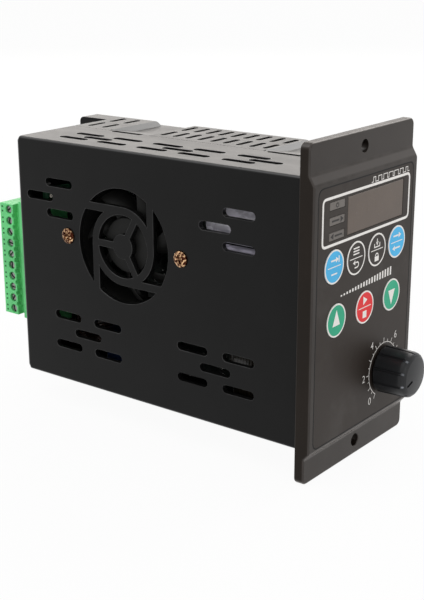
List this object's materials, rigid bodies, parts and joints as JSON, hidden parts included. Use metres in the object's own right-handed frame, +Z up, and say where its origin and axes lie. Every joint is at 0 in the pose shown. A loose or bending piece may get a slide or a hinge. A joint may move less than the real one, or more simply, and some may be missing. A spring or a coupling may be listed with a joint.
{
  "type": "panel-mount variable frequency drive",
  "caption": "Compact panel-mount motor speed drive in a vented two-part plastic case, with a front flange, keypad, display, speed knob, side fan and plug-in screw terminals.",
  "frame": {"origin": "centre of the flange's back face, midway between the two panel holes", "axes": "+Y from the front panel into the cabinet, +X to the right seen from the front, +Z up"},
  "size_m": [0.074, 0.1873, 0.129],
  "materials": {
    "shell_black": "satin moulded",
    "frame_black": "fine satin moulded",
    "overlay_film": "matte printed film",
    "window_smoke": "smoked clear",
    "status_grey": "matte printed",
    "key_blue": "matte printed",
    "key_black": "matte printed",
    "key_green": "matte printed",
    "key_red": "matte printed",
    "knob_black": "satin moulded",
    "steel": "zinc plated",
    "pot_zinc": "plated",
    "brass": "turned",
    "board_green": "solder mask",
    "switch_black": "moulded",
    "display_cream": "moulded",
    "led_clear": "clear",
    "sink_aluminium": "extruded",
    "module_black": "moulded",
    "cap_sleeve": "shrink sleeve",
    "tape_yellow": "taped",
    "copper": "enamelled wire",
    "relay_blue": "moulded",
    "fan_black": "moulded",
    "screw_copper": "copper plated",
    "terminal_green": "moulded"
  },
  "bodies": {
    "root": {"left_shell": "shell_black", "right_shell": "shell_black", "front_frame": "frame_black", "keypad_overlay": "overlay_film", "display_window": "window_smoke", "status_windows": "status_grey", "pot_body": "pot_zinc", "pot_nut": "brass", "pot_washer": "steel", "control_board": "board_green", "key_switches": "switch_black", "led_display": "display_cream", "status_leds": "led_clear", "board_screws": "steel", "board_link": "switch_black", "power_board": "board_green", "board_standoffs": "brass", "heat_sink": "sink_aluminium", "heat_sink_screws": "steel", "power_module": "module_black", "bus_capacitors": "cap_sleeve", "transformer": "tape_yellow", "line_choke": "copper", "relay": "relay_blue", "fan_frame": "fan_black", "fan_stator": "copper", "fan_screws": "screw_copper", "terminal_header": "terminal_green", "header_pins": "steel"},
    "key_blue_left_body": {"key_blue_left": "key_blue"},
    "key_black_left_body": {"key_black_left": "key_black"},
    "key_black_right_body": {"key_black_right": "key_black"},
    "key_blue_right_body": {"key_blue_right": "key_blue"},
    "key_green_up_body": {"key_green_up": "key_green"},
    "key_red_body": {"key_red": "key_red"},
    "key_green_down_body": {"key_green_down": "key_green"},
    "knob_body": {"speed_knob": "knob_black", "pot_shaft": "steel"},
    "rotor_body": {"fan_rotor": "fan_black"},
    "plug_body": {"terminal_plug": "terminal_green"},
    "screw_1_body": {"terminal_screw_1": "steel"},
    "clamp_1_body": {"wire_clamp_1": "steel"},
    "screw_2_body": {"terminal_screw_2": "steel"},
    "clamp_2_body": {"wire_clamp_2": "steel"},
    "screw_3_body": {"terminal_screw_3": "steel"},
    "clamp_3_body": {"wire_clamp_3": "steel"},
    "screw_4_body": {"terminal_screw_4": "steel"},
    "clamp_4_body": {"wire_clamp_4": "steel"},
    "screw_5_body": {"terminal_screw_5": "steel"},
    "clamp_5_body": {"wire_clamp_5": "steel"},
    "screw_6_body": {"terminal_screw_6": "steel"},
    "clamp_6_body": {"wire_clamp_6": "steel"},
    "screw_7_body": {"terminal_screw_7": "steel"},
    "clamp_7_body": {"wire_clamp_7": "steel"},
    "screw_8_body": {"terminal_screw_8": "steel"},
    "clamp_8_body": {"wire_clamp_8": "steel"},
    "screw_9_body": {"terminal_screw_9": "steel"},
    "clamp_9_body": {"wire_clamp_9": "steel"},
    "screw_10_body": {"terminal_screw_10": "steel"},
    "clamp_10_body": {"wire_clamp_10": "steel"}
  },
  "joints": [
    {"name": "key_blue_left_press", "type": "slide", "parent": "root", "child": "key_blue_left_body", "axis": [0, 1, 0], "range_m": [0, 0.0005], "stiffness_N_per_m": 2000},
    {"name": "key_black_left_press", "type": "slide", "parent": "root", "child": "key_black_left_body", "axis": [0, 1, 0], "range_m": [0, 0.0005], "stiffness_N_per_m": 2000},
    {"name": "key_black_right_press", "type": "slide", "parent": "root", "child": "key_black_right_body", "axis": [0, 1, 0], "range_m": [0, 0.0005], "stiffness_N_per_m": 2000},
    {"name": "key_blue_right_press", "type": "slide", "parent": "root", "child": "key_blue_right_body", "axis": [0, 1, 0], "range_m": [0, 0.0005], "stiffness_N_per_m": 2000},
    {"name": "key_green_up_press", "type": "slide", "parent": "root", "child": "key_green_up_body", "axis": [0, 1, 0], "range_m": [0, 0.0005], "stiffness_N_per_m": 2000},
    {"name": "key_red_press", "type": "slide", "parent": "root", "child": "key_red_body", "axis": [0, 1, 0], "range_m": [0, 0.0005], "stiffness_N_per_m": 2000},
    {"name": "key_green_down_press", "type": "slide", "parent": "root", "child": "key_green_down_body", "axis": [0, 1, 0], "range_m": [0, 0.0005], "stiffness_N_per_m": 2000},
    {"name": "speed_turn", "type": "hinge", "parent": "root", "child": "knob_body", "pos_m": [0.0162, -0.014, -0.0326], "axis": [0, 1, 0], "range_deg": [-35, 265]},
    {"name": "fan_spin", "type": "hinge", "parent": "root", "child": "rotor_body", "pos_m": [-0.026, 0.086, 0.013], "axis": [1, 0, 0], "continuous": true},
    {"name": "plug_pull", "type": "slide", "parent": "root", "child": "plug_body", "axis": [0, 1, 0], "range_m": [0, 0.014]},
    {"name": "screw_1_turn", "type": "hinge", "parent": "plug_body", "child": "screw_1_body", "pos_m": [-0.024, 0.1606, -0.02936], "axis": [1, 0, 0], "range_deg": [0, 1080]},
    {"name": "clamp_1_lift", "type": "slide", "parent": "plug_body", "child": "clamp_1_body", "axis": [-1, 0, 0], "range_m": [0, 0.0015]},
    {"name": "screw_2_turn", "type": "hinge", "parent": "plug_body", "child": "screw_2_body", "pos_m": [-0.024, 0.1606, -0.02428], "axis": [1, 0, 0], "range_deg": [0, 1080]},
    {"name": "clamp_2_lift", "type": "slide", "parent": "plug_body", "child": "clamp_2_body", "axis": [-1, 0, 0], "range_m": [0, 0.0015]},
    {"name": "screw_3_turn", "type": "hinge", "parent": "plug_body", "child": "screw_3_body", "pos_m": [-0.024, 0.1606, -0.0192], "axis": [1, 0, 0], "range_deg": [0, 1080]},
    {"name": "clamp_3_lift", "type": "slide", "parent": "plug_body", "child": "clamp_3_body", "axis": [-1, 0, 0], "range_m": [0, 0.0015]},
    {"name": "screw_4_turn", "type": "hinge", "parent": "plug_body", "child": "screw_4_body", "pos_m": [-0.024, 0.1606, -0.01412], "axis": [1, 0, 0], "range_deg": [0, 1080]},
    {"name": "clamp_4_lift", "type": "slide", "parent": "plug_body", "child": "clamp_4_body", "axis": [-1, 0, 0], "range_m": [0, 0.0015]},
    {"name": "screw_5_turn", "type": "hinge", "parent": "plug_body", "child": "screw_5_body", "pos_m": [-0.024, 0.1606, -0.00904], "axis": [1, 0, 0], "range_deg": [0, 1080]},
    {"name": "clamp_5_lift", "type": "slide", "parent": "plug_body", "child": "clamp_5_body", "axis": [-1, 0, 0], "range_m": [0, 0.0015]},
    {"name": "screw_6_turn", "type": "hinge", "parent": "plug_body", "child": "screw_6_body", "pos_m": [-0.024, 0.1606, -0.00396], "axis": [1, 0, 0], "range_deg": [0, 1080]},
    {"name": "clamp_6_lift", "type": "slide", "parent": "plug_body", "child": "clamp_6_body", "axis": [-1, 0, 0], "range_m": [0, 0.0015]},
    {"name": "screw_7_turn", "type": "hinge", "parent": "plug_body", "child": "screw_7_body", "pos_m": [-0.024, 0.1606, 0.00112], "axis": [1, 0, 0], "range_deg": [0, 1080]},
    {"name": "clamp_7_lift", "type": "slide", "parent": "plug_body", "child": "clamp_7_body", "axis": [-1, 0, 0], "range_m": [0, 0.0015]},
    {"name": "screw_8_turn", "type": "hinge", "parent": "plug_body", "child": "screw_8_body", "pos_m": [-0.024, 0.1606, 0.0062], "axis": [1, 0, 0], "range_deg": [0, 1080]},
    {"name": "clamp_8_lift", "type": "slide", "parent": "plug_body", "child": "clamp_8_body", "axis": [-1, 0, 0], "range_m": [0, 0.0015]},
    {"name": "screw_9_turn", "type": "hinge", "parent": "plug_body", "child": "screw_9_body", "pos_m": [-0.024, 0.1606, 0.01128], "axis": [1, 0, 0], "range_deg": [0, 1080]},
    {"name": "clamp_9_lift", "type": "slide", "parent": "plug_body", "child": "clamp_9_body", "axis": [-1, 0, 0], "range_m": [0, 0.0015]},
    {"name": "screw_10_turn", "type": "hinge", "parent": "plug_body", "child": "screw_10_body", "pos_m": [-0.024, 0.1606, 0.01636], "axis": [1, 0, 0], "range_deg": [0, 1080]},
    {"name": "clamp_10_lift", "type": "slide", "parent": "plug_body", "child": "clamp_10_body", "axis": [-1, 0, 0], "range_m": [0, 0.0015]}
  ],
  "couplings": [
    {"joint": "screw_1_turn", "follows": "clamp_1_lift", "rad_per_m": 12566},
    {"joint": "screw_2_turn", "follows": "clamp_2_lift", "rad_per_m": 12566},
    {"joint": "screw_3_turn", "follows": "clamp_3_lift", "rad_per_m": 12566},
    {"joint": "screw_4_turn", "follows": "clamp_4_lift", "rad_per_m": 12566},
    {"joint": "screw_5_turn", "follows": "clamp_5_lift", "rad_per_m": 12566},
    {"joint": "screw_6_turn", "follows": "clamp_6_lift", "rad_per_m": 12566},
    {"joint": "screw_7_turn", "follows": "clamp_7_lift", "rad_per_m": 12566},
    {"joint": "screw_8_turn", "follows": "clamp_8_lift", "rad_per_m": 12566},
    {"joint": "screw_9_turn", "follows": "clamp_9_lift", "rad_per_m": 12566},
    {"joint": "screw_10_turn", "follows": "clamp_10_lift", "rad_per_m": 12566}
  ]
}
